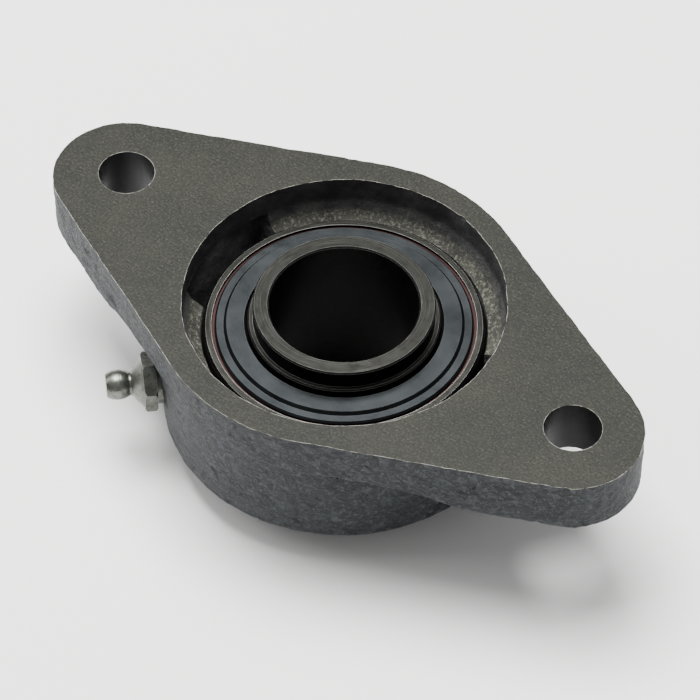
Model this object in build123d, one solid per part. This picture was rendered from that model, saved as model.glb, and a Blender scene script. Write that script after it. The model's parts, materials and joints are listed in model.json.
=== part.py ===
from build123d import *
import os
from math import asin, atan2, cos, radians, sin, sqrt, tan

# A two-bolt flange mount bearing: a cast rhombic housing with a self-aligning ball bearing insert.
# Millimetres. The origin is on the mounting face, midway between the two bolt holes.
# +X runs along the bolt holes and +Z points out of the mounting face: the housing is below Z = 0.
# The "nose" is the inner ring's end at the mounting face, and the "collar" is its other end,
# which sticks out further and holds the set screws.

# How far a cutting shape runs past the surface that it cuts
OVERCUT = 1.0

# Housing
BOLT_SPACING = 117.0
BOLT_HOLE_R = 6.05
CAST_OFFSET_Y = -0.8
EAR_R = 15.5
EAR_THICKNESS = 13.6
WEB_THICKNESS = 10.6
RAMP_START = 49.5
RAMP_END = 33.5
FLANGE_DRAFT_DEG = 1.0
BODY_R = 39.7
BODY_DEPTH = 32.0
BODY_DRAFT_DEG = 2.5
EDGE_FILLET_R = 1.2
RECESS_CENTRE = (0.5, -0.55)
RECESS_R = 33.9
RECESS_WALL = 6.0
RECESS_DEPTH = 9.3
FLOOR_SLOPE = 0.7
FOOT_WIDTH = 2.4
FOOT_KNEE_WIDTH = 1.1
FOOT_KNEE_HEIGHT = 1.0
SEAT_MOUTH_R = 30.2
FRONT_OPENING_R = 28.9
FRONT_CHAMFER = 1.2
NOTCH_TOP = (67.6, 27.6)
NOTCH_BOTTOM = (62.8, 20.6)

# Insert
SEAT_CENTRE_Z = -18.0
OUTER_RING_R = 31.0
SEAT_CLEARANCE = 0.03
OUTER_RING_WIDTH = 19.0
OUTER_FACE_R = 29.2
OUTER_CHAMFER_DEPTH = 0.6
SEAL_SEAT_R = 28.0
SEAL_SEAT_DEPTH = 2.7
OUTER_LAND_R = 25.7
SHAFT_R = 15.875
NOSE_LENGTH = 15.9
COLLAR_LENGTH = 22.2
NOSE_R = 19.25
NOSE_STEP = 11.7
INNER_LAND_R = 20.3
EDGE_BREAK = 0.3

# Balls and cage
BALL_COUNT = 9
BALL_R = 4.7625
PITCH_R = 23.0
BALL_CLEARANCE = 0.03
RACEWAY_R = 0.52 * 2 * BALL_R
POCKET_CLEARANCE = 0.08
CAGE_SHEET = 0.8
CAGE_INNER_R = 21.6
CAGE_OUTER_R = 24.4
RIVET_R = 0.8
RIVET_HEAD_R = 1.35
RIVET_HEAD_HEIGHT = 0.55
RIVET_CROWN_R = 0.8

# Seals, with heights measured from the ring's middle plane
SHROUD_SHEET = 0.5
SHROUD_RIM_R = 27.3
SHROUD_RIM_FOOT = 7.6
SHROUD_RIM_ROUND = 0.4
SHROUD_RIM_ROUND_INSIDE = 0.1
SHROUD_BAND = 9.75
SHROUD_STEP_R = 25.1
SHROUD_STEP_RUN = 0.3
SHROUD_TOP = 10.45
SHROUD_INNER_R = 21.1
RUBBER_EDGE = 8.8
LIP_CLEARANCE = 0.04
LIP_TIP = 8.5
LIP_BEVEL = 0.5
LIP_WIDTH = 0.3
LIP_REACH = 1.2
LIP_ROOT_R = 21.7
BACKING_SHEET = 0.6
BACKING_INNER_R = 21.9
BACKING_GAP = 0.1
BACKING_SHOWING = 0.7

# Lubrication
GREASE_GROOVE_Z = -4.5
GREASE_GROOVE_WIDTH = 4.4
GREASE_GROOVE_DEPTH = 0.8
GREASE_HOLE_R = 1.0
GREASE_HOLE_Z = -5.2
GREASE_HOLE_ANGLES = (45.0, 165.0)
FITTING_ANGLE = 225.0
FITTING_Z = -20.7
SHANK_R = 4.9
SHANK_END = 33.6
SHANK_CHAMFER = 0.6
SHANK_GAP = 0.1
HEX_BACK = 40.3
HEX_FRONT = 43.05
HEX_ACROSS_FLATS = 11.11
HEX_TURN_DEG = 50.0
HEX_CHAMFER = 0.45
CONE_INSET = 0.9
NECK_START = 45.6
HEAD_START = 45.95
HEAD_END = 50.85
NECK_R = 2.55
HEAD_R = 3.22
HEAD_END_R = 2.5
FITTING_ENTRY_R = 1.0
FITTING_ENTRY_DEPTH = 0.4
CHAMBER_R = 1.7
CHAMBER_START = 40.2
GREASE_PASSAGE_R = 1.5
CHECK_BALL_R = 1.4
CHECK_BALL_CLEARANCE = 0.03
SPRING_WIRE_R = 0.18
SPRING_COIL_R = 1.15
SPRING_TURNS = 7

# Set screws
SCREW_R = 3.175
SCREW_LENGTH = 5.2
SCREW_CLEARANCE = 0.05
SCREW_FROM_COLLAR = 5.0
SCREW_TIP_GAP = 0.475
SCREW_ANGLES = (30.0, 270.0)
SCREW_SOCKET_FLATS = 3.175
SCREW_SOCKET_DEPTH = 2.6
SCREW_CUP_R = 1.7
SCREW_CUP_RIM = 0.2
SCREW_CHAMFER = 0.5


def turned(points):
    """A closed ring: the profile of (radius, height) points turned about Z."""
    profile = make_face(Plane.XZ * Polyline(*points, close=True))
    return revolve(profile, Axis.Z)


def mirrored_set(shape):
    """The same shape on the other side of the middle plane."""
    return mirror(shape, about=Plane.XY)


def at_seat(shape):
    """Moves a shape made about the ring's middle to its place in the housing."""
    return Pos(0, 0, SEAT_CENTRE_Z) * shape


def rhombic_outline(centre_r, ear_r):
    """The flange's outline: a middle circle and two ear circles, joined by their tangent lines."""
    reach = BOLT_SPACING / 2
    lean = asin((centre_r - ear_r) / reach)
    corners = []
    for side_x, side_y in ((1, 1), (-1, 1), (-1, -1), (1, -1)):
        on_centre = (side_x * centre_r * sin(lean), side_y * centre_r * cos(lean))
        on_ear = (side_x * (reach + ear_r * sin(lean)), side_y * ear_r * cos(lean))
        corners.append((on_centre, on_ear))
    (c1, e1), (c2, e2), (c3, e3), (c4, e4) = corners
    edges = [
        ThreePointArc(c1, (0, centre_r), c2),
        Line(c2, e2),
        ThreePointArc(e2, (-reach - ear_r, 0), e3),
        Line(e3, c3),
        ThreePointArc(c3, (0, -centre_r), c4),
        Line(c4, e4),
        ThreePointArc(e4, (reach + ear_r, 0), e1),
        Line(e1, c1),
    ]
    return make_face(edges)


def radial(angle, height):
    """A frame whose X points outwards from the axis at an angle and whose Z points up."""
    return Rot(0, 0, angle) * Pos(0, 0, height)


def round_bar(start, end, radius):
    """A bar along X between two distances from the axis."""
    return Pos(start, 0, 0) * Rot(0, 90, 0) * extrude(Circle(radius), end - start)


def cast_place():
    """The casting lies a little off the machined seat and holes, as raw castings do."""
    return Pos(0, CAST_OFFSET_Y, 0)


def recess_place():
    """The recess's core shifted a little too, by its own amount."""
    return Pos(*RECESS_CENTRE, 0)


def underside_gap():
    """The space under the web, whose ramps at both ends run down to the thicker ears."""
    middle = ((RAMP_START + RAMP_END) / 2, -(EAR_THICKNESS + WEB_THICKNESS) / 2)
    foot = (RAMP_START, -EAR_THICKNESS)
    shoulder = (RAMP_END, -WEB_THICKNESS)
    ramp = Spline(foot, middle, shoulder, tangents=((-1, 0), (-1, 0)))
    low_z = -EAR_THICKNESS - OVERCUT
    outline = [
        Line((0, low_z), (RAMP_START, low_z)),
        Line((RAMP_START, low_z), foot),
        ramp,
        Line(shoulder, (0, -WEB_THICKNESS)),
        Line((0, -WEB_THICKNESS), (0, low_z)),
    ]
    half = extrude(make_face([Plane.XZ * edge for edge in outline]), BODY_R, both=True)
    return half + mirror(half, about=Plane.YZ)


def flange():
    """The rhombic plate, with draft on its sides and a rounded lower edge."""
    plate = extrude(rhombic_outline(BODY_R, EAR_R), -EAR_THICKNESS, taper=FLANGE_DRAFT_DEG)
    plate -= underside_gap()
    lower = plate.edges().filter_by(lambda edge: edge.center().Z < EDGE_FILLET_R - WEB_THICKNESS)
    return fillet(lower.filter_by(Axis.Y, reverse=True), EDGE_FILLET_R)


def body():
    """The round middle of the casting, which stands out further than the flange."""
    drum = extrude(Circle(BODY_R), -BODY_DEPTH, taper=BODY_DRAFT_DEG)
    return fillet(drum.faces().sort_by(Axis.Z)[0].edges(), EDGE_FILLET_R)


def housing_casting():
    return cast_place() * (flange() + body())


def recess():
    """The cast pocket in the mounting face, with a sloping foot to its wall."""
    pocket = turned(
        [
            (0, OVERCUT),
            (RECESS_R, OVERCUT),
            (RECESS_R, -RECESS_WALL),
            (RECESS_R - FOOT_KNEE_WIDTH, -RECESS_DEPTH + FOOT_KNEE_HEIGHT),
            (RECESS_R - FOOT_WIDTH, -RECESS_DEPTH),
            (SEAT_MOUTH_R, -RECESS_DEPTH - FLOOR_SLOPE),
            (0, -RECESS_DEPTH - FLOOR_SLOPE),
        ]
    )
    return recess_place() * pocket


def seat_space():
    """The spherical seat, its mouth in the recess and its opening at the front."""
    seat_r = OUTER_RING_R + SEAT_CLEARANCE
    mouth = sqrt(seat_r**2 - SEAT_MOUTH_R**2)
    opening = -sqrt(seat_r**2 - FRONT_OPENING_R**2)
    top = -SEAT_CENTRE_Z - RECESS_WALL
    front = -BODY_DEPTH - SEAT_CENTRE_Z
    corners = [
        (FRONT_OPENING_R, opening),
        (FRONT_OPENING_R, front + FRONT_CHAMFER),
        (FRONT_OPENING_R + 2 * FRONT_CHAMFER, front - FRONT_CHAMFER),
        (0, front - FRONT_CHAMFER),
        (0, top),
        (SEAT_MOUTH_R, top),
        (SEAT_MOUTH_R, mouth),
    ]
    outline = [Line(a, b) for a, b in zip(corners, corners[1:])]
    outline.append(ThreePointArc((SEAT_MOUTH_R, mouth), (seat_r, 0), (FRONT_OPENING_R, opening)))
    profile = make_face([Plane.XZ * edge for edge in outline])
    return at_seat(revolve(profile, Axis.Z))


def loading_notches():
    """The tapered slot along X through which the ring was put in edgewise."""
    top = Pos(0, 0, -RECESS_WALL) * Rectangle(*NOTCH_TOP)
    bottom = Pos(0, 0, SEAT_CENTRE_Z) * Rectangle(*NOTCH_BOTTOM)
    return recess_place() * loft([top, bottom])


def grease_port():
    threaded = round_bar(SHANK_END - SHANK_GAP, BODY_R + OVERCUT, SHANK_R)
    passage = round_bar(PITCH_R, SHANK_END, GREASE_PASSAGE_R)
    return radial(FITTING_ANGLE, FITTING_Z) * (threaded + passage)


def housing():
    casting = housing_casting() - recess() - seat_space() - loading_notches() - grease_port()
    for side in (-1, 1):
        hole = extrude(Circle(BOLT_HOLE_R), EAR_THICKNESS + OVERCUT, both=True)
        casting -= Pos(side * BOLT_SPACING / 2, 0, 0) * hole
    return casting


def raceway_arc(land_r, bottom_r):
    """The raceway's groove from +Z to -Z, and the height at which it meets the land."""
    centre_r = bottom_r + RACEWAY_R if land_r > bottom_r else bottom_r - RACEWAY_R
    half_width = sqrt(RACEWAY_R**2 - (centre_r - land_r) ** 2)
    return half_width, ThreePointArc((land_r, half_width), (bottom_r, 0), (land_r, -half_width))


def outer_ring():
    half = OUTER_RING_WIDTH / 2
    shoulder = half - OUTER_CHAMFER_DEPTH
    sphere_r = sqrt(OUTER_RING_R**2 - shoulder**2)
    seat = half - SEAL_SEAT_DEPTH
    half_width, groove = raceway_arc(OUTER_LAND_R, PITCH_R + BALL_R + BALL_CLEARANCE)
    upper = [(OUTER_LAND_R, half_width), (OUTER_LAND_R, seat), (SEAL_SEAT_R, seat)]
    upper += [(SEAL_SEAT_R, half), (OUTER_FACE_R, half), (sphere_r, shoulder)]
    lower = [(radius, -height) for radius, height in upper]
    edges = [Line(a, b) for a, b in zip(upper, upper[1:])]
    edges += [Line(a, b) for a, b in zip(lower, lower[1:])]
    edges += [groove, ThreePointArc(upper[-1], (OUTER_RING_R, 0), lower[-1])]
    ring = revolve(make_face([Plane.XZ * edge for edge in edges]), Axis.Z)
    band_r = OUTER_RING_R - GREASE_GROOVE_DEPTH
    beyond_r = OUTER_RING_R + OVERCUT
    band = Cylinder(beyond_r, GREASE_GROOVE_WIDTH) - Cylinder(band_r, GREASE_GROOVE_WIDTH)
    ring -= Pos(0, 0, GREASE_GROOVE_Z) * band
    for angle in GREASE_HOLE_ANGLES:
        ring -= radial(angle, GREASE_HOLE_Z) * round_bar(PITCH_R, beyond_r, GREASE_HOLE_R)
    return at_seat(ring)


def inner_ring():
    half_width, groove = raceway_arc(INNER_LAND_R, PITCH_R - BALL_R - BALL_CLEARANCE)
    upper = [
        (INNER_LAND_R, half_width),
        (INNER_LAND_R, NOSE_STEP - EDGE_BREAK),
        (INNER_LAND_R - EDGE_BREAK, NOSE_STEP),
        (NOSE_R, NOSE_STEP),
        (NOSE_R, NOSE_LENGTH - EDGE_BREAK),
        (NOSE_R - EDGE_BREAK, NOSE_LENGTH),
        (SHAFT_R + EDGE_BREAK, NOSE_LENGTH),
        (SHAFT_R, NOSE_LENGTH - EDGE_BREAK),
        (SHAFT_R, -COLLAR_LENGTH + 2 * EDGE_BREAK),
        (SHAFT_R + 2 * EDGE_BREAK, -COLLAR_LENGTH),
        (INNER_LAND_R - 2 * EDGE_BREAK, -COLLAR_LENGTH),
        (INNER_LAND_R, -COLLAR_LENGTH + 2 * EDGE_BREAK),
        (INNER_LAND_R, -half_width),
    ]
    edges = [Line(a, b) for a, b in zip(upper, upper[1:])] + [groove]
    ring = revolve(make_face([Plane.XZ * edge for edge in edges]), Axis.Z)
    for angle in SCREW_ANGLES:
        hole = round_bar(SHAFT_R - OVERCUT, INNER_LAND_R + OVERCUT, SCREW_R + SCREW_CLEARANCE)
        ring -= radial(angle, SCREW_FROM_COLLAR - COLLAR_LENGTH) * hole
    return at_seat(ring)


def shroud_line(inset, rim_round):
    """The pressed sheet's outside from its rim inwards, or with an inset its underside."""
    rim_r = SHROUD_RIM_R - inset
    band = SHROUD_BAND - inset
    slope = atan2(SHROUD_TOP - SHROUD_BAND, 2 * SHROUD_STEP_RUN)
    step_r = SHROUD_STEP_R - inset * tan(slope / 2)
    return [
        (rim_r, SHROUD_RIM_FOOT),
        (rim_r, band - rim_round),
        (rim_r - rim_round, band),
        (step_r + SHROUD_STEP_RUN, band),
        (step_r - SHROUD_STEP_RUN, SHROUD_TOP - inset),
        (SHROUD_INNER_R, SHROUD_TOP - inset),
    ]


def seal_shroud():
    outside = shroud_line(0, SHROUD_RIM_ROUND)
    underside = shroud_line(SHROUD_SHEET, SHROUD_RIM_ROUND_INSIDE)
    return turned(outside + underside[::-1])


def seal_rubber():
    """The rubber moulded against the shroud's underside, with its lip on the inner ring."""
    backing_top = OUTER_RING_WIDTH / 2 - SEAL_SEAT_DEPTH + BACKING_SHEET
    edge = [
        (SEAL_SEAT_R, backing_top),
        (SEAL_SEAT_R, RUBBER_EDGE),
        (SHROUD_RIM_R, RUBBER_EDGE),
        (SHROUD_RIM_R, SHROUD_RIM_FOOT),
    ]
    underside = shroud_line(SHROUD_SHEET, SHROUD_RIM_ROUND_INSIDE)[:-1]
    lip_r = INNER_LAND_R + LIP_CLEARANCE
    lip = [
        (LIP_ROOT_R, SHROUD_TOP - SHROUD_SHEET),
        (lip_r + LIP_BEVEL, LIP_TIP + LIP_BEVEL),
        (lip_r, LIP_TIP),
        (lip_r, LIP_TIP - LIP_WIDTH),
        (lip_r + LIP_REACH, LIP_TIP - LIP_WIDTH),
        (BACKING_INNER_R + BACKING_SHOWING, backing_top),
    ]
    return turned(edge + underside + lip)


def seal_backing():
    low = OUTER_RING_WIDTH / 2 - SEAL_SEAT_DEPTH
    high = low + BACKING_SHEET
    outer_r = SEAL_SEAT_R - BACKING_GAP
    section = [(BACKING_INNER_R, low), (outer_r, low), (outer_r, high), (BACKING_INNER_R, high)]
    return turned(section)


def around_pitch(index, step=0.0):
    """The place of one ball, or with half a step the place between two balls."""
    angle = radians((index + step) * 360 / BALL_COUNT)
    return Pos(PITCH_R * cos(angle), PITCH_R * sin(angle), 0)


def cage_half():
    pocket_r = BALL_R + POCKET_CLEARANCE
    dome_r = pocket_r + CAGE_SHEET
    band = Cylinder(CAGE_OUTER_R, dome_r) - Cylinder(CAGE_INNER_R, dome_r)
    band = Pos(0, 0, dome_r / 2) * band
    ribbon = Cylinder(CAGE_OUTER_R, CAGE_SHEET) - Cylinder(CAGE_INNER_R, CAGE_SHEET)
    ribbon = Pos(0, 0, CAGE_SHEET / 2) * ribbon
    for index in range(BALL_COUNT):
        ribbon += around_pitch(index) * Sphere(dome_r) & band
    for index in range(BALL_COUNT):
        ribbon -= around_pitch(index) * Sphere(pocket_r)
        ribbon -= around_pitch(index, 0.5) * Cylinder(RIVET_R, 4 * CAGE_SHEET)
    return ribbon


def cage_rivet():
    head_z = CAGE_SHEET + RIVET_HEAD_HEIGHT
    half = [
        (0, 0),
        (RIVET_R, 0),
        (RIVET_R, CAGE_SHEET),
        (RIVET_HEAD_R, CAGE_SHEET),
        (RIVET_CROWN_R, head_z),
        (0, head_z),
    ]
    upper = turned(half)
    return upper + mirrored_set(upper)


def fitting_shank():
    return turned(
        [
            (0, SHANK_END),
            (SHANK_R - SHANK_CHAMFER, SHANK_END),
            (SHANK_R, SHANK_END + SHANK_CHAMFER),
            (SHANK_R, HEX_BACK),
            (0, HEX_BACK),
        ]
    )


def fitting_hexagon():
    """The spanner hexagon, its corners turned off on both faces."""
    corner_r = HEX_ACROSS_FLATS / sqrt(3)
    hexagon = Pos(0, 0, HEX_BACK) * RegularPolygon(corner_r, 6, rotation=HEX_TURN_DEG)
    envelope = turned(
        [
            (0, HEX_BACK),
            (corner_r - HEX_CHAMFER, HEX_BACK),
            (corner_r, HEX_BACK + HEX_CHAMFER),
            (corner_r, HEX_FRONT - HEX_CHAMFER),
            (corner_r - HEX_CHAMFER, HEX_FRONT),
            (0, HEX_FRONT),
        ]
    )
    return extrude(hexagon, HEX_FRONT - HEX_BACK) & envelope


def fitting_nozzle():
    """The cone, the neck and the rounded head that a grease gun grips."""
    cone_r = HEX_ACROSS_FLATS / sqrt(3) - CONE_INSET
    head_middle = (HEAD_START + HEAD_END) / 2
    outline = [
        Line((0, HEX_FRONT), (cone_r, HEX_FRONT)),
        Line((cone_r, HEX_FRONT), (NECK_R, NECK_START)),
        Line((NECK_R, NECK_START), (NECK_R, HEAD_START)),
        ThreePointArc((NECK_R, HEAD_START), (HEAD_R, head_middle), (HEAD_END_R, HEAD_END)),
        Line((HEAD_END_R, HEAD_END), (0, HEAD_END)),
        Line((0, HEAD_END), (0, HEX_FRONT)),
    ]
    return revolve(make_face([Plane.XZ * edge for edge in outline]), Axis.Z)


def fitting_bore():
    """The way through the fitting: entry, conical ball seat, spring chamber and outlet."""
    entry = HEAD_END - FITTING_ENTRY_DEPTH
    return turned(
        [
            (0, SHANK_END - OVERCUT),
            (FITTING_ENTRY_R, SHANK_END - OVERCUT),
            (FITTING_ENTRY_R, CHAMBER_START),
            (CHAMBER_R, CHAMBER_START),
            (CHAMBER_R, entry - CHAMBER_R + FITTING_ENTRY_R),
            (FITTING_ENTRY_R, entry),
            (FITTING_ENTRY_R, HEAD_END + OVERCUT),
            (0, HEAD_END + OVERCUT),
        ]
    )


def fitting_body():
    return fitting_shank() + fitting_hexagon() + fitting_nozzle() - fitting_bore()


def check_ball_distance():
    """How far out the check ball's centre is when it rests in the fitting's conical seat."""
    entry = HEAD_END - FITTING_ENTRY_DEPTH
    cone_reach = (CHECK_BALL_R + CHECK_BALL_CLEARANCE) * sqrt(2)
    return entry + FITTING_ENTRY_R - cone_reach


def check_ball():
    return Pos(0, 0, check_ball_distance()) * Sphere(CHECK_BALL_R)


def fitting_spring():
    length = check_ball_distance() - CHECK_BALL_R - CHAMBER_START - 2 * SPRING_WIRE_R
    coil = Helix(length / SPRING_TURNS, length, SPRING_COIL_R)
    coil = Pos(0, 0, CHAMBER_START + SPRING_WIRE_R) * coil
    wire = Plane(coil @ 0, z_dir=coil % 0) * Circle(SPRING_WIRE_R)
    return sweep(wire, path=coil, is_frenet=True)


def on_fitting_axis(shape):
    """Lays a shape made along Z on the grease fitting's axis."""
    return radial(FITTING_ANGLE, FITTING_Z) * Rot(0, 90, 0) * shape


def set_screw():
    """A cup-point set screw along X, its point towards the shaft."""
    tip = SHAFT_R + SCREW_TIP_GAP
    head = tip + SCREW_LENGTH
    rim_r = SCREW_CUP_R + SCREW_CUP_RIM
    profile = [
        (0, tip + SCREW_CHAMFER),
        (SCREW_CUP_R, tip),
        (rim_r, tip),
        (SCREW_R, tip + SCREW_R - rim_r),
        (SCREW_R, head - SCREW_CHAMFER),
        (SCREW_R - SCREW_CHAMFER, head),
        (0, head),
    ]
    socket_r = SCREW_SOCKET_FLATS / sqrt(3)
    socket = Pos(0, 0, head - SCREW_SOCKET_DEPTH) * RegularPolygon(socket_r, 6)
    socket = extrude(socket, SCREW_SOCKET_DEPTH + OVERCUT)
    return Rot(0, 90, 0) * (turned(profile) - socket)


def parts():
    """Every piece of the bearing by name, in its place."""
    pieces = {
        "housing": housing(),
        "grease_fitting_body": on_fitting_axis(fitting_body()),
        "grease_fitting_ball": on_fitting_axis(check_ball()),
        "grease_fitting_spring": on_fitting_axis(fitting_spring()),
        "outer_ring": outer_ring(),
        "inner_ring": inner_ring(),
        "cage_nose_half": at_seat(cage_half()),
        "cage_collar_half": at_seat(mirrored_set(cage_half())),
    }
    for name, make in (("shroud", seal_shroud), ("rubber", seal_rubber), ("backing", seal_backing)):
        pieces["nose_seal_" + name] = at_seat(make())
        pieces["collar_seal_" + name] = at_seat(mirrored_set(make()))
    for index in range(BALL_COUNT):
        pieces["ball_" + str(index + 1)] = at_seat(around_pitch(index) * Sphere(BALL_R))
    rivets = [at_seat(around_pitch(index, 0.5) * cage_rivet()) for index in range(BALL_COUNT)]
    pieces["cage_rivets"] = Compound(children=rivets)
    for index, angle in enumerate(SCREW_ANGLES):
        height = SEAT_CENTRE_Z - COLLAR_LENGTH + SCREW_FROM_COLLAR
        pieces["set_screw_" + str(index + 1)] = radial(angle, height) * set_screw()
    return pieces


os.makedirs("parts", exist_ok=True)
for name, shape in parts().items():
    export_step(shape, "parts/" + name + ".step")
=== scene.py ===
import json
import math

import bmesh
import bpy
from mathutils import Matrix, Vector, noise

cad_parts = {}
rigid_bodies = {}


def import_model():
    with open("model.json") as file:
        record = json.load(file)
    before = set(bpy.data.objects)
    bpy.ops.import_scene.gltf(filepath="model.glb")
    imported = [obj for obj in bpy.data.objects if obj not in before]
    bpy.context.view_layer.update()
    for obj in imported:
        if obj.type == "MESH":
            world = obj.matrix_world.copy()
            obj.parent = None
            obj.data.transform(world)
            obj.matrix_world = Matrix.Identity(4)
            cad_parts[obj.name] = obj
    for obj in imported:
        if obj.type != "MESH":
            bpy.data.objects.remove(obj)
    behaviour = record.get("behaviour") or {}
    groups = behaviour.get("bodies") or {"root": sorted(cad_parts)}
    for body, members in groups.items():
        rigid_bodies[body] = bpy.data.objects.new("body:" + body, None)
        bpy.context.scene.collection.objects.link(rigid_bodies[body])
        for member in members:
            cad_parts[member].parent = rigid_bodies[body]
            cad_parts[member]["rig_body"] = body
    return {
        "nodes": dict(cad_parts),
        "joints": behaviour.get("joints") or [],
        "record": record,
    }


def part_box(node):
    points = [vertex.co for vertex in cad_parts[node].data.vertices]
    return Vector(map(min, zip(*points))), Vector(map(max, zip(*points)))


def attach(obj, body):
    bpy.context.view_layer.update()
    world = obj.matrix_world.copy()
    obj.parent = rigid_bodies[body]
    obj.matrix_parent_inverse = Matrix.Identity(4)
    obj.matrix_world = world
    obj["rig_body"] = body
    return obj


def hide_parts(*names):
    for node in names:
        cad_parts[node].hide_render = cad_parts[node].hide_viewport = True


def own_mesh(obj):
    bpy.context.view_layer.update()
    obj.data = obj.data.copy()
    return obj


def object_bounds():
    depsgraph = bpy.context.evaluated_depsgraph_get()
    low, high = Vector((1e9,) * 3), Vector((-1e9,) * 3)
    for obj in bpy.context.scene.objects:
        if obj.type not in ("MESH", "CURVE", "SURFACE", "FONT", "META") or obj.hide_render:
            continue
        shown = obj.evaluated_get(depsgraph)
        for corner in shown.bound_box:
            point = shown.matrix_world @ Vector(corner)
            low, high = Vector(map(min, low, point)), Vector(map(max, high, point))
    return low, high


# The looks of a two-bolt flange mount bearing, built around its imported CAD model.
# Metres, in the CAD frame: +Z comes out of the mounting face, along the shaft.

MM = 0.001

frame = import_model()
CAD_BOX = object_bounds()
NODES = frame["nodes"]
MOUNTS = {mount["name"]: mount for mount in frame["record"]["mounts"]}
JOINTS = {joint["name"]: joint for joint in frame["joints"]}
SEAT_CENTRE = Vector(JOINTS["insert_tilt"]["pos_m"])
FITTING_OUT = -Vector(JOINTS["grease_ball_press"]["axis"])
FITTING_Z = MOUNTS["grease_nipple"]["pos_m"][2]


# ---------------------------------------------------------------- camera, floor and light

VIEW_AZIMUTH = math.radians(36.94)
VIEW_ELEVATION = math.radians(49.58)
VIEW_ROLL = math.radians(0.235)
VIEW_AIM = Vector((9.74 * MM, -10.87 * MM, 0.0))
VIEW_DISTANCE = 0.9037
LENS_MM = 224.67
SENSOR_MM = 36.0

FLOOR_HALF = 3.0
FLOOR_Z = CAD_BOX[0][2]


def add_camera():
    data = bpy.data.cameras.new("camera")
    data.lens = LENS_MM
    data.sensor_width = SENSOR_MM
    data.clip_start = 0.05
    turn = Matrix.Rotation(VIEW_AZIMUTH, 4, "Z")
    tip = Matrix.Rotation(math.pi / 2 - VIEW_ELEVATION, 4, "X")
    roll = Matrix.Rotation(VIEW_ROLL, 4, "Z")
    back = Matrix.Translation((0, 0, VIEW_DISTANCE))
    camera = bpy.data.objects.new("camera", data)
    camera.matrix_world = Matrix.Translation(VIEW_AIM) @ turn @ tip @ back @ roll
    bpy.context.scene.collection.objects.link(camera)
    bpy.context.scene.camera = camera


def add_area_light(name, azimuth_deg, elevation_deg, distance, size, power):
    """A soft square light that faces the object.

    Azimuth 0 is behind the object in the camera's view, and 90 is to its left.
    """
    data = bpy.data.lights.new(name, "AREA")
    data.energy = power
    data.size = size
    light = bpy.data.objects.new(name, data)
    turn = Matrix.Rotation(VIEW_AZIMUTH + math.radians(azimuth_deg), 4, "Z")
    tip = Matrix.Rotation(-math.pi / 2 + math.radians(elevation_deg), 4, "X")
    light.matrix_world = turn @ tip @ Matrix.Translation((0, 0, distance))
    bpy.context.scene.collection.objects.link(light)


def add_floor():
    bm = bmesh.new()
    bmesh.ops.create_grid(bm, x_segments=1, y_segments=1, size=FLOOR_HALF)
    mesh = bpy.data.meshes.new("floor")
    bm.to_mesh(mesh)
    bm.free()
    floor = bpy.data.objects.new("floor", mesh)
    floor.location.z = FLOOR_Z
    bpy.context.scene.collection.objects.link(floor)
    material = bpy.data.materials.new("pale_floor")
    material.use_nodes = True
    shader = material.node_tree.nodes["Principled BSDF"]
    shader.inputs["Base Color"].default_value = (0.9, 0.9, 0.89, 1)
    shader.inputs["Roughness"].default_value = 0.6
    shader.inputs["Specular IOR Level"].default_value = 0.2
    mesh.materials.append(material)


def add_world():
    world = bpy.data.worlds.new("studio")
    world.use_nodes = True
    background = world.node_tree.nodes["Background"]
    background.inputs["Color"].default_value = (1.0, 1.0, 1.0, 1)
    background.inputs["Strength"].default_value = 0.44
    bpy.context.scene.world = world


# ---------------------------------------------------------------- building blocks for materials


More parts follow.
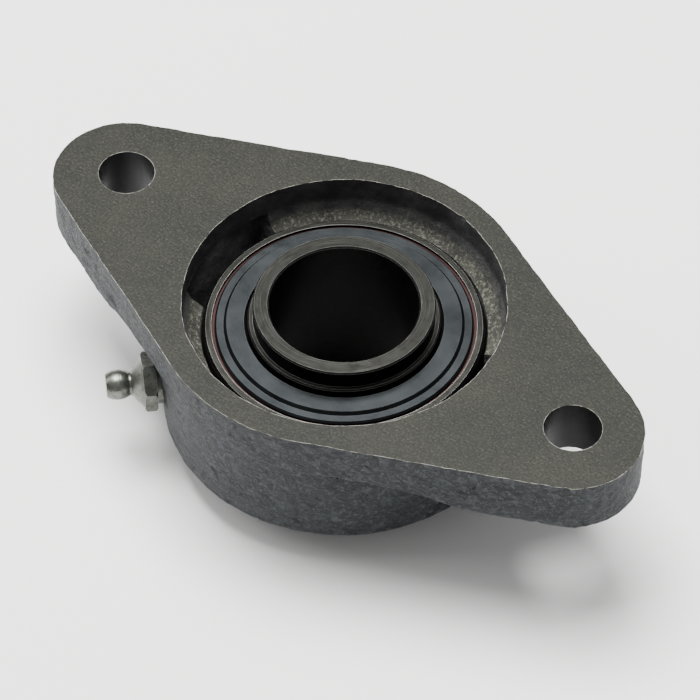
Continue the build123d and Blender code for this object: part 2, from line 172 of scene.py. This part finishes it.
class Recipe:
    """A material's node tree, with short calls for the nodes that the materials share."""

    def __init__(self, name):
        self.material = bpy.data.materials.new(name)
        self.material.use_nodes = True
        self.tree = self.material.node_tree
        self.shader = self.tree.nodes["Principled BSDF"]
        coordinates = self.tree.nodes.new("ShaderNodeTexCoord")
        self.place = coordinates.outputs["Object"]
        self.height = None

    def node(self, kind, **settings):
        made = self.tree.nodes.new(kind)
        for key, value in settings.items():
            setattr(made, key, value)
        return made

    def feed(self, socket, value):
        """Links an output to a socket, or sets a plain value on it."""
        if isinstance(value, bpy.types.NodeSocket):
            self.tree.links.new(value, socket)
        else:
            socket.default_value = value

    def fixed(self, **values):
        for key, value in values.items():
            self.shader.inputs[key.replace("_", " ")].default_value = value

    def math(self, operation, a, b=0.0):
        made = self.node("ShaderNodeMath", operation=operation)
        self.feed(made.inputs[0], a)
        self.feed(made.inputs[1], b)
        return made.outputs[0]

    def vector(self, operation, a, b=(0, 0, 0)):
        made = self.node("ShaderNodeVectorMath", operation=operation)
        self.feed(made.inputs[0], a)
        self.feed(made.inputs[1], b)
        return made

    def span(self, value, low, high, to_low=0.0, to_high=1.0):
        """Maps a value from one span to another, held at both ends."""
        made = self.node("ShaderNodeMapRange")
        self.feed(made.inputs["Value"], value)
        made.inputs["From Min"].default_value = low
        made.inputs["From Max"].default_value = high
        made.inputs["To Min"].default_value = to_low
        made.inputs["To Max"].default_value = to_high
        return made.outputs[0]

    def mix(self, share, a, b):
        made = self.node("ShaderNodeMix", data_type="RGBA")
        for index, value in ((0, share), (6, a), (7, b)):
            if isinstance(value, tuple) and len(value) == 3:
                value = (*value, 1)
            self.feed(made.inputs[index], value)
        return made.outputs[2]

    def noise(self, size_mm, detail=3.0, roughness=0.55, at=None, distortion=0.0):
        """Soft noise whose blotches are about size_mm across, from 0 to 1."""
        made = self.node("ShaderNodeTexNoise")
        self.feed(made.inputs["Vector"], at or self.place)
        made.inputs["Scale"].default_value = 1 / (size_mm * MM)
        made.inputs["Detail"].default_value = detail
        made.inputs["Roughness"].default_value = roughness
        made.inputs["Distortion"].default_value = distortion
        return made.outputs[0]

    def pits(self, size_mm, share):
        """Round pits, 1 in their middle and 0 elsewhere. share is how far across a cell they reach."""
        made = self.node("ShaderNodeTexVoronoi")
        made.inputs["Scale"].default_value = 1 / (size_mm * MM)
        self.feed(made.inputs["Vector"], self.place)
        return self.span(made.outputs["Distance"], 0.0, share, 1.0, 0.0)

    def stretched(self, along, across):
        """Places for noise drawn out along one direction in the XY plane."""
        turned = self.node("ShaderNodeMapping")
        self.feed(turned.inputs["Vector"], self.place)
        turned.inputs["Rotation"].default_value = (0, 0, along)
        turned.inputs["Scale"].default_value = (1 / across, 1, 1)
        return turned.outputs[0]

    def rings(self, stretch=25.0):
        """Places for noise that makes turning marks about Z, on end faces and on cylinders alike."""
        split = self.node("ShaderNodeSeparateXYZ")
        self.feed(split.inputs[0], self.place)
        flat = self.vector("MULTIPLY", self.place, (1, 1, 0))
        radius = self.vector("LENGTH", flat.outputs[0]).outputs["Value"]
        along = self.vector("SCALE", flat.outputs[0])
        along.inputs["Scale"].default_value = 1 / stretch
        joined = self.node("ShaderNodeCombineXYZ")
        self.feed(joined.inputs[0], radius)
        self.feed(joined.inputs[1], split.outputs[2])
        return self.vector("ADD", joined.outputs[0], along.outputs[0]).outputs[0]

    def upward(self):
        """How far the surface faces up, from -1 to 1, in the piece's own frame."""
        coordinates = self.node("ShaderNodeTexCoord")
        split = self.node("ShaderNodeSeparateXYZ")
        self.feed(split.inputs[0], coordinates.outputs["Normal"])
        return split.outputs[2]

    def edges(self, radius_mm, low=0.02, high=0.25):
        """1 on sharp edges and 0 away from them."""
        bevel = self.node("ShaderNodeBevel", samples=8)
        bevel.inputs["Radius"].default_value = radius_mm * MM
        geometry = self.node("ShaderNodeNewGeometry")
        alike = self.vector("DOT_PRODUCT", bevel.outputs[0], geometry.outputs["Normal"])
        away = self.math("SUBTRACT", 1.0, alike.outputs["Value"])
        return self.span(away, low, high)

    def raise_by(self, height, depth_mm):
        """Adds relief to the bump, in millimetres."""
        scaled = self.math("MULTIPLY", height, depth_mm)
        self.height = scaled if self.height is None else self.math("ADD", self.height, scaled)

    def finish(self):
        if self.height is not None:
            bump = self.node("ShaderNodeBump")
            bump.inputs["Strength"].default_value = 1.0
            bump.inputs["Distance"].default_value = MM
            self.feed(bump.inputs["Height"], self.height)
            self.feed(self.shader.inputs["Normal"], bump.outputs[0])
        return self.material


# ---------------------------------------------------------------- materials

RED_RUBBER_R = 26.5 * MM

def cast_outside():
    """Raw sand casting under a thin coat: dark blue-grey, gritty, with lighter high spots."""
    r = Recipe("cast_iron_outside")
    broad = r.noise(9.0, 4.0, 0.6)
    grain = r.noise(2.1, 5.0, 0.78, distortion=0.8)
    speck = r.noise(0.75, 3.0, 0.65)
    pits = r.math("MULTIPLY", r.pits(2.3, 0.45), r.span(r.noise(4.0, 2.0), 0.48, 0.6))
    colour = r.mix(r.span(broad, 0.35, 0.65), (0.005, 0.0062, 0.0074), (0.012, 0.0142, 0.0165))
    colour = r.mix(r.span(grain, 0.48, 0.66), colour, (0.052, 0.059, 0.065))
    colour = r.mix(r.span(speck, 0.55, 0.68, 0.0, 0.7), colour, (0.078, 0.086, 0.092))
    colour = r.mix(r.span(pits, 0.2, 0.9), colour, (0.003, 0.003, 0.0035))
    worn = r.math("MULTIPLY", r.edges(0.5), r.span(grain, 0.42, 0.58))
    r.feed(r.shader.inputs["Base Color"], r.mix(worn, colour, (0.1, 0.1, 0.098)))
    r.feed(r.shader.inputs["Roughness"], r.span(grain, 0.3, 0.7, 0.5, 0.72))
    r.fixed(Specular_IOR_Level=0.3)
    r.raise_by(grain, 0.9)
    r.raise_by(speck, 0.3)
    r.raise_by(pits, -0.2)
    return r.finish()


def cast_recess():
    """Inside the recess: dark skin on the walls and bare tan grit on the floor."""
    r = Recipe("cast_iron_recess")
    broad = r.noise(6.0, 3.0, 0.6)
    grain = r.noise(0.75, 4.0, 0.75)
    speck = r.noise(0.4, 2.0, 0.6)
    wall = r.mix(r.span(broad, 0.35, 0.65), (0.03, 0.03, 0.031), (0.055, 0.055, 0.055))
    floor = r.mix(r.span(broad, 0.35, 0.65), (0.021, 0.0212, 0.0175), (0.038, 0.0382, 0.031))
    floor = r.mix(r.span(grain, 0.5, 0.64), floor, (0.12, 0.121, 0.097))
    floor = r.mix(r.span(speck, 0.3, 0.42, 0.7, 0.0), floor, (0.012, 0.011, 0.01))
    colour = r.mix(r.span(r.upward(), 0.35, 0.75), wall, floor)
    r.feed(r.shader.inputs["Base Color"], colour)
    r.feed(r.shader.inputs["Roughness"], r.span(grain, 0.3, 0.7, 0.5, 0.8))
    r.fixed(Specular_IOR_Level=0.2)
    r.raise_by(grain, 0.3)
    r.raise_by(speck, 0.12)
    return r.finish()


def ground_face():
    """The mounting face: ground iron, warm dark grey, finely grained, with a bright rim that is partly
    worn and partly a painted highlight.
    """
    r = Recipe("cast_iron_ground")
    broad = r.noise(22.0, 3.0, 0.55)
    mottle = r.noise(3.0, 4.0, 0.65)
    first = r.noise(0.5, 3.0, 0.65, r.stretched(0.35, 3.0))
    second = r.noise(0.5, 3.0, 0.65, r.stretched(1.75, 2.5))
    fine = r.noise(0.5, 3.0, 0.65)
    marks = r.math("ADD", r.math("MULTIPLY", first, 0.5), r.math("MULTIPLY", second, 0.5))
    colour = r.mix(r.span(broad, 0.35, 0.65), (0.0068, 0.0074, 0.0052), (0.0135, 0.0137, 0.0098))
    colour = r.mix(r.span(mottle, 0.42, 0.66, 0.0, 0.45), colour, (0.0195, 0.0198, 0.0145))
    colour = r.mix(r.span(marks, 0.5, 0.66, 0.0, 0.6), colour, (0.033, 0.0335, 0.0255))
    colour = r.mix(r.span(fine, 0.54, 0.7, 0.0, 0.6), colour, (0.052, 0.0525, 0.042))
    colour = r.mix(r.span(fine, 0.34, 0.46, 0.8, 0.0), colour, (0.003, 0.003, 0.0025))
    # Bright broken line along the edges: partly wear, partly a painted highlight.
    worn = r.math("MULTIPLY", r.edges(0.25, 0.01, 0.15), r.span(r.noise(2.5, 4.0, 0.7), 0.4, 0.56))
    r.feed(r.shader.inputs["Base Color"], r.mix(worn, colour, (0.34, 0.33, 0.29)))
    r.feed(r.shader.inputs["Roughness"], r.span(marks, 0.35, 0.65, 0.42, 0.6))
    r.fixed(Metallic=0.1, Specular_IOR_Level=0.15)
    r.raise_by(marks, 0.05)
    r.raise_by(fine, 0.05)
    return r.finish()


def bored_iron():
    """Machined iron inside the bolt holes, the seat and the front opening."""
    r = Recipe("cast_iron_bored")
    marks = r.noise(0.4, 2.0, 0.6, r.rings())
    broad = r.noise(5.0, 3.0)
    colour = r.mix(r.span(broad, 0.3, 0.7), (0.009, 0.0095, 0.0105), (0.019, 0.0195, 0.02))
    colour = r.mix(r.span(marks, 0.45, 0.7, 0.0, 0.5), colour, (0.035, 0.035, 0.034))
    colour = r.mix(r.edges(0.3), colour, (0.2, 0.195, 0.185))
    r.feed(r.shader.inputs["Base Color"], colour)
    r.feed(r.shader.inputs["Roughness"], r.span(marks, 0.3, 0.7, 0.35, 0.55))
    r.fixed(Metallic=0.3, Specular_IOR_Level=0.3)
    r.raise_by(marks, 0.03)
    return r.finish()


def ring_steel():
    """Bearing steel: end faces ground brownish grey; the bore and the other cylinders coloured
    near-black as painted shade; each edge a bright line, partly worn bright and partly a painted
    highlight.
    """
    r = Recipe("bearing_ring_steel")
    marks = r.noise(0.3, 3.0, 0.7, r.rings())
    broad = r.noise(7.0, 3.0)
    smear = r.noise(2.5, 4.0, 0.6, distortion=0.6)
    ground = r.mix(r.span(broad, 0.3, 0.7), (0.0115, 0.0118, 0.0102), (0.018, 0.0182, 0.0162))
    ground = r.mix(r.span(smear, 0.48, 0.66, 0.0, 0.8), ground, (0.0085, 0.0084, 0.0072))
    ground = r.mix(r.span(marks, 0.52, 0.7, 0.0, 0.6), ground, (0.042, 0.042, 0.038))
    # Painted shade: everything but the end faces, the bore and the nose's cylinder among them, is
    # coloured near-black for the shade that falls there.
    dark = r.mix(r.span(smear, 0.4, 0.7), (0.002, 0.002, 0.002), (0.005, 0.005, 0.0049))
    ends = r.span(r.math("ABSOLUTE", r.upward()), 0.8, 0.95)
    colour = r.mix(ends, dark, ground)
    # Each edge is coloured a bright line: partly worn bright, partly a painted highlight.
    colour = r.mix(r.edges(0.22, 0.02, 0.15), colour, (0.2, 0.2, 0.19))
    r.feed(r.shader.inputs["Base Color"], colour)
    rough = r.math("ADD", r.span(marks, 0.3, 0.7, 0.26, 0.4), r.span(smear, 0.4, 0.7, 0.0, 0.1))
    r.feed(r.shader.inputs["Roughness"], rough)
    # Metallic and specular stay low off the end faces, so the painted shade there is not lit up by
    # reflections.
    r.feed(r.shader.inputs["Metallic"], r.span(ends, 0.0, 1.0, 0.0, 0.85))
    r.feed(r.shader.inputs["Specular IOR Level"], r.span(ends, 0.0, 1.0, 0.03, 0.12))
    r.raise_by(marks, 0.03)
    return r.finish()


def shroud_steel():
    """Satin pressed steel, dark blue-grey, a little oily."""
    r = Recipe("seal_shroud_steel")
    marks = r.noise(0.3, 3.0, 0.6, r.rings(40.0))
    broad = r.noise(8.0, 4.0, 0.6, distortion=0.4)
    speck = r.noise(0.5, 3.0, 0.6)
    colour = r.mix(r.span(broad, 0.3, 0.7), (0.011, 0.0125, 0.0135), (0.021, 0.0235, 0.0245))
    colour = r.mix(r.span(speck, 0.58, 0.75, 0.0, 0.6), colour, (0.007, 0.0075, 0.0078))
    # Painted highlight: each edge is coloured a bright line.
    colour = r.mix(r.edges(0.15), colour, (0.07, 0.074, 0.075))
    r.feed(r.shader.inputs["Base Color"], colour)
    r.feed(r.shader.inputs["Roughness"], r.span(broad, 0.3, 0.7, 0.3, 0.44))
    r.fixed(Metallic=0.85, Specular_IOR_Level=0.12)
    r.raise_by(marks, 0.008)
    r.raise_by(speck, 0.012)
    return r.finish()


def seal_rubber():
    """Nitrile rubber: dark red-brown outside RED_RUBBER_R, at its rim, and near-black inside it, at
    its lip.
    """
    r = Recipe("seal_rubber")
    broad = r.noise(4.0, 3.0)
    speck = r.noise(0.3, 3.0, 0.6)
    flat = r.vector("MULTIPLY", r.place, (1, 1, 0))
    radius = r.vector("LENGTH", flat.outputs[0]).outputs["Value"]
    rim = r.mix(r.span(broad, 0.3, 0.7), (0.018, 0.0035, 0.003), (0.032, 0.006, 0.005))
    colour = r.mix(r.span(radius, RED_RUBBER_R - MM, RED_RUBBER_R), (0.0025, 0.0025, 0.0025), rim)
    colour = r.mix(r.span(speck, 0.6, 0.75, 0.0, 0.6), colour, (0.008, 0.006, 0.006))
    r.feed(r.shader.inputs["Base Color"], colour)
    r.feed(r.shader.inputs["Roughness"], r.span(speck, 0.3, 0.7, 0.45, 0.62))
    r.fixed(Specular_IOR_Level=0.15)
    r.raise_by(speck, 0.012)
    return r.finish()


def zinc_steel():
    """Turned steel under slightly yellow zinc plate, with rings along the fitting's axis."""
    r = Recipe("zinc_plated_steel")
    reach = r.vector("DOT_PRODUCT", r.place, tuple(FITTING_OUT)).outputs["Value"]
    line = r.node("ShaderNodeCombineXYZ")
    r.feed(line.inputs[0], reach)
    marks = r.noise(0.22, 2.0, 0.6, line.outputs[0])
    broad = r.noise(2.5, 3.0)
    stain = r.noise(1.1, 4.0, 0.65)
    colour = r.mix(r.span(broad, 0.3, 0.7), (0.075, 0.08, 0.068), (0.16, 0.166, 0.148))
    colour = r.mix(r.span(stain, 0.52, 0.7, 0.0, 0.8), colour, (0.045, 0.042, 0.028))
    colour = r.mix(r.edges(0.15), colour, (0.45, 0.45, 0.42))
    r.feed(r.shader.inputs["Base Color"], colour)
    r.feed(r.shader.inputs["Roughness"], r.span(stain, 0.3, 0.7, 0.24, 0.42))
    r.fixed(Metallic=0.9)
    r.raise_by(marks, 0.035)
    r.raise_by(stain, 0.01)
    return r.finish()


def bright_steel():
    """Polished ball steel, with the faintest haze."""
    r = Recipe("polished_steel")
    haze = r.noise(1.5, 4.0, 0.6)
    colour = r.mix(r.span(haze, 0.3, 0.7), (0.35, 0.35, 0.36), (0.45, 0.45, 0.46))
    r.feed(r.shader.inputs["Base Color"], colour)
    r.feed(r.shader.inputs["Roughness"], r.span(haze, 0.3, 0.7, 0.07, 0.14))
    r.fixed(Metallic=1.0)
    r.raise_by(haze, 0.002)
    return r.finish()


def pressed_steel(name, dark, light):
    """Pressed or drawn steel, with fine marks and bright edges."""
    r = Recipe(name)
    grain = r.noise(0.25, 3.0, 0.6)
    broad = r.noise(3.0, 3.0)
    colour = r.mix(r.span(broad, 0.3, 0.7), dark, light)
    colour = r.mix(r.edges(0.12), colour, (0.4, 0.39, 0.37))
    r.feed(r.shader.inputs["Base Color"], colour)
    r.feed(r.shader.inputs["Roughness"], r.span(grain, 0.3, 0.7, 0.28, 0.45))
    r.fixed(Metallic=0.95)
    r.raise_by(grain, 0.008)
    return r.finish()


def black_oxide():
    """Blackened screw steel, worn bright on its edges."""
    r = Recipe("black_oxide_steel")
    grain = r.noise(0.3, 4.0, 0.6)
    broad = r.noise(2.0, 3.0)
    colour = r.mix(r.span(broad, 0.3, 0.7), (0.008, 0.008, 0.009), (0.018, 0.018, 0.02))
    colour = r.mix(r.edges(0.12), colour, (0.14, 0.135, 0.13))
    r.feed(r.shader.inputs["Base Color"], colour)
    r.feed(r.shader.inputs["Roughness"], r.span(grain, 0.3, 0.7, 0.32, 0.5))
    r.fixed(Metallic=0.7)
    r.raise_by(grain, 0.01)
    return r.finish()


# ---------------------------------------------------------------- the cast housing

HOLE = MOUNTS["bolt_holes"]["dims"]
HOLE_REACH = HOLE["spacing_x_mm"] / 2 * MM
HOLE_R = HOLE["hole_r_mm"] * MM
SEAT_R = 31.03 * MM
FRONT_OPENING_R = 28.9 * MM
FRONT_CHAMFER_R = 30.12 * MM
FRONT_LAND_Z = 28.0 * MM
PORT_R = 4.9 * MM
PORT_START = 30.0 * MM
RECESS_CENTRE = Vector((0.5 * MM, -0.55 * MM))
RECESS_R = 33.9 * MM
NOTCH_REACH = 37.4 * MM
RECESS_FLOOR_Z = -10.1 * MM
NOTCH_FLOOR_Z = -18.1 * MM
HAIR = 0.03 * MM

OUTSIDE, FACE, BORED, RECESS = range(4)
CAST_CELL = 1.0 * MM
SHARP_ANGLE = math.radians(32)

# Relief of the cast surfaces: (size of a lump, depth of one, offset of its noise)
CAST_RELIEF = (
    (11 * MM, 0.16 * MM, Vector((0, 0, 0))),
    (3.6 * MM, 0.14 * MM, Vector((5, 1, 7))),
    (1.5 * MM, 0.1 * MM, Vector((2, 9, 4))),
)
PIT_SIZE = 2.6 * MM
PIT_DEPTH = 0.35 * MM
PIT_OFFSET = Vector((8, 3, 1))
PIT_START = 0.38
PIT_RUN = 0.4


def zone_of(centre, normal):
    """Which surface of the housing a point with an outward normal belongs to."""
    if centre.z > -HAIR and normal.z > 0.9:
        return FACE
    from_hole = Vector((abs(centre.x) - HOLE_REACH, centre.y)).length
    if from_hole < HOLE_R + HAIR:
        return BORED
    from_axis = centre.xy.length
    if (centre - SEAT_CENTRE).length < SEAT_R + HAIR:
        return BORED
    if centre.z < -FRONT_LAND_Z and from_axis < FRONT_CHAMFER_R + HAIR:
        return BORED
    reach = centre.dot(FITTING_OUT)
    beside = centre - reach * FITTING_OUT - Vector((0, 0, FITTING_Z))
    if reach > PORT_START and beside.length < PORT_R + HAIR:
        return BORED
    inwards = -normal.xy.dot(centre.xy)
    from_recess = (centre.xy - RECESS_CENTRE).length
    if centre.z > RECESS_FLOOR_Z and from_recess < RECESS_R + MM and (inwards > 0 or normal.z > 0.2):
        return RECESS
    if centre.z > NOTCH_FLOOR_Z and from_axis < NOTCH_REACH:
        return RECESS
    return OUTSIDE


def refine(bm, wanted, cell):
    """Splits the edges of the wanted faces until none is longer than a cell, or no more can be."""
    zones = bm.faces.layers.int["zone"]
    left = math.inf
    while True:
        long_edges = []
        for edge in bm.edges:
            if edge.calc_length() > cell and any(face[zones] in wanted for face in edge.link_faces):
                long_edges.append(edge)
        if not long_edges or len(long_edges) == left:
            return
        left = len(long_edges)
        bmesh.ops.subdivide_edges(bm, edges=long_edges, cuts=1)
        bmesh.ops.triangulate(bm, faces=[face for face in bm.faces if len(face.verts) > 3])


def cast_relief(point):
    """How deep the casting's surface lies under the CAD surface: lumps, ripples and pits."""
    depth = 0.0
    for size, height, offset in CAST_RELIEF:
        depth += height * (0.5 + noise.noise(point / size + offset))
    pit = (noise.noise(point / PIT_SIZE + PIT_OFFSET) - PIT_START) / PIT_RUN
    return depth + PIT_DEPTH * min(max(pit, 0.0), 1.0)


def roughen(bm):
    """Moves the cast surfaces' points into the casting, and leaves every machined one alone."""
    zones = bm.faces.layers.int["zone"]
    moves = {}
    for vertex in bm.verts:
        around = {face[zones] for face in vertex.link_faces}
        if BORED in around or not around & {OUTSIDE, RECESS}:
            continue
        inward = Vector()
        for face in vertex.link_faces:
            if face[zones] != FACE:
                inward -= face.normal * face.calc_area()
        if FACE in around:
            inward.z = 0
        moves[vertex] = inward.normalized() * max(cast_relief(vertex.co), 0.0)
    for vertex, move in moves.items():
        vertex.co += move


def refill_face(bm):
    """Covers the mounting face again inside its roughened rims."""
    zones = bm.faces.layers.int["zone"]
    old = [face for face in bm.faces if face[zones] == FACE]
    bmesh.ops.delete(bm, geom=old, context="FACES_ONLY")
    rims = [edge for edge in bm.edges if len(edge.link_faces) == 1]
    filled = bmesh.ops.triangle_fill(bm, edges=rims, use_beauty=True, normal=(0, 0, 1))
    for item in filled["geom"]:
        if isinstance(item, bmesh.types.BMFace):
            item[zones] = FACE
            if item.normal.z < 0:
                item.normal_flip()


def piece_from(bm, name, materials, node, flat_index=None):
    """Makes a mesh object that stands for a CAD node, with one material's faces left flat."""
    mesh = bpy.data.meshes.new(name)
    bm.to_mesh(mesh)
    bm.free()
    mesh.attributes.remove(mesh.attributes["custom_normal"])
    if flat_index is not None:
        smooth = [polygon.material_index != flat_index for polygon in mesh.polygons]
        mesh.polygons.foreach_set("use_smooth", smooth)
    mesh.set_sharp_from_angle(angle=SHARP_ANGLE)
    for material in materials:
        mesh.materials.append(material)
    piece = bpy.data.objects.new(name, mesh)
    bpy.context.scene.collection.objects.link(piece)
    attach(piece, NODES[node]["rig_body"])
    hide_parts(node)
    return piece


def welded_copy(node):
    """A CAD node's mesh as one welded bmesh."""
    bm = bmesh.new()
    bm.from_mesh(NODES[node].data)
    bmesh.ops.remove_doubles(bm, verts=bm.verts, dist=0.001 * MM)
    bmesh.ops.recalc_face_normals(bm, faces=bm.faces)
    return bm


def add_housing():
    bm = welded_copy("housing")
    zones = bm.faces.layers.int.new("zone")
    bm.normal_update()
    for face in bm.faces:
        face[zones] = zone_of(face.calc_center_median(), face.normal)
    refine(bm, {OUTSIDE, RECESS}, CAST_CELL)
    bm.normal_update()
    roughen(bm)
    refill_face(bm)
    for face in bm.faces:
        face.material_index = face[zones]
    materials = [cast_outside(), ground_face(), bored_iron(), cast_recess()]
    piece_from(bm, "housing_casting", materials, "housing", flat_index=FACE)


# ---------------------------------------------------------------- screw threads and the spring

SCREW_R = 3.175 * MM
SCREW_Z = sum(corner[2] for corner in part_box("set_screw_1")) / 2
THREAD_PITCH = 0.907 * MM
THREAD_DEPTH = 0.4 * MM
THREAD_CELL = 0.2 * MM


def thread_depth(along, turn):
    """How deep a V thread is at a distance along its screw and at an angle about it, in turns."""
    phase = (along / THREAD_PITCH - turn) % 1.0
    return THREAD_DEPTH * (1 - abs(2 * phase - 1))


def add_threaded_screw(index):
    """A set screw with its thread cut into its plain cylinder."""
    node = f"set_screw_{index}"
    bm = welded_copy(node)
    out = -Vector(JOINTS[f"{node}_travel"]["axis"])
    beside = out.cross(Vector((0, 0, 1)))
    axis_point = Vector((0, 0, SCREW_Z))
    zones = bm.faces.layers.int.new("zone")
    for face in bm.faces:
        offset = face.calc_center_median() - axis_point
        away = (offset - offset.dot(out) * out).length
        face[zones] = OUTSIDE if away > SCREW_R - HAIR else BORED
    refine(bm, {OUTSIDE}, THREAD_CELL)
    for vertex in bm.verts:
        if any(face[zones] == BORED for face in vertex.link_faces):
            continue
        offset = vertex.co - axis_point
        spoke = offset - offset.dot(out) * out
        turn = math.atan2(spoke.z, spoke.dot(beside)) / math.tau
        vertex.co -= spoke.normalized() * thread_depth(offset.dot(out), turn)
    piece_from(bm, f"{node}_threaded", [black_oxide()], node)


def add_spring():
    """The check ball's spring, on a mesh of its own with a wire steel material."""
    node = "grease_fitting_spring"
    bm = welded_copy(node)
    material = pressed_steel("spring_wire_steel", (0.15, 0.15, 0.155), (0.22, 0.22, 0.22))
    piece = piece_from(bm, "fitting_spring_coil", [material], node)
    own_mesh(piece)


# ---------------------------------------------------------------- the other nodes


def paint(material, *nodes):
    """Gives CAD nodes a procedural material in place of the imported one."""
    for name in nodes:
        NODES[name].data.materials.clear()
        NODES[name].data.materials.append(material)


def paint_nodes():
    balls = [name for name in NODES if name.startswith("ball_")]
    paint(ring_steel(), "inner_ring", "outer_ring")
    paint(shroud_steel(), "nose_seal_shroud", "collar_seal_shroud")
    paint(seal_rubber(), "nose_seal_rubber", "collar_seal_rubber")
    paint(
        pressed_steel("seal_backing_steel", (0.12, 0.12, 0.12), (0.18, 0.18, 0.18)),
        "nose_seal_backing",
        "collar_seal_backing",
    )
    paint(
        pressed_steel("cage_steel", (0.14, 0.13, 0.11), (0.2, 0.19, 0.17)),
        "cage_nose_half",
        "cage_collar_half",
        "cage_rivets",
    )
    paint(zinc_steel(), "grease_fitting_body")
    paint(bright_steel(), "grease_fitting_ball", *balls)


add_camera()
add_world()
add_floor()
add_area_light("key", 20, 74, 1.3, 0.8, 60)
add_area_light("left", 80, 40, 1.2, 0.7, 6)
add_housing()
add_threaded_screw(1)
add_threaded_screw(2)
add_spring()
paint_nodes()
